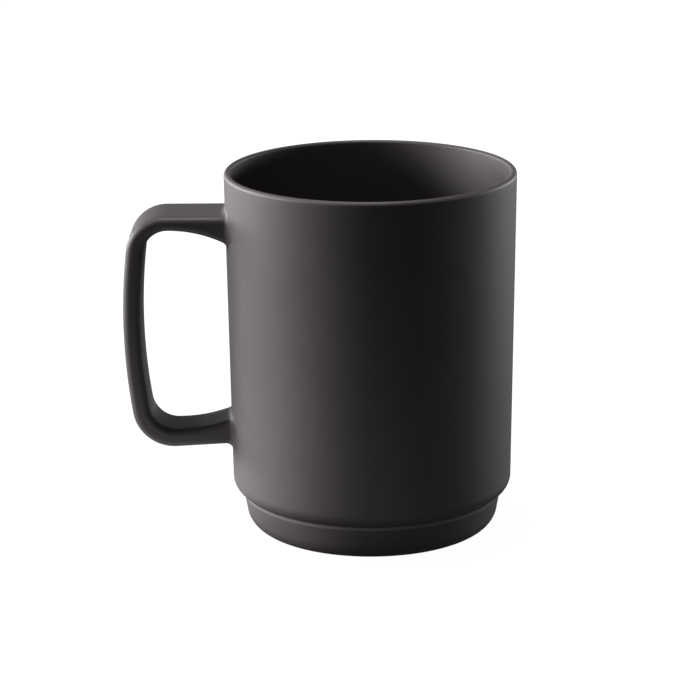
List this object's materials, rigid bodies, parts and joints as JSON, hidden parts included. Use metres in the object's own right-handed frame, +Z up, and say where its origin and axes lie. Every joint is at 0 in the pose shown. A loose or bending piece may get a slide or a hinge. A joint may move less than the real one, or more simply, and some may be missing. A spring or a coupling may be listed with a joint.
{
  "type": "ceramic mug",
  "caption": "Straight-sided stoneware mug with a slim squared strap handle, a softly rounded lip and a stepped-in foot that nests in the mouth of a matching mug.",
  "frame": {"origin": "on the cup's axis, in the plane of the foot ring that stands on the table", "axes": "+Z up along the cup's axis, the handle points to -X, and Y runs across the handle"},
  "size_m": [0.1148, 0.085, 0.1073],
  "materials": {
    "stoneware": "bare fired clay, matte",
    "slip": "fired slip, matte",
    "glaze_outside": "satin charcoal glaze",
    "glaze_inside": "satin charcoal glaze"
  },
  "bodies": {
    "root": {"cup_body": "stoneware", "handle": "stoneware", "upper_slip_bead": "slip", "lower_slip_bead": "slip", "outer_glaze": "glaze_outside", "liner_glaze": "glaze_inside"}
  },
  "joints": []
}
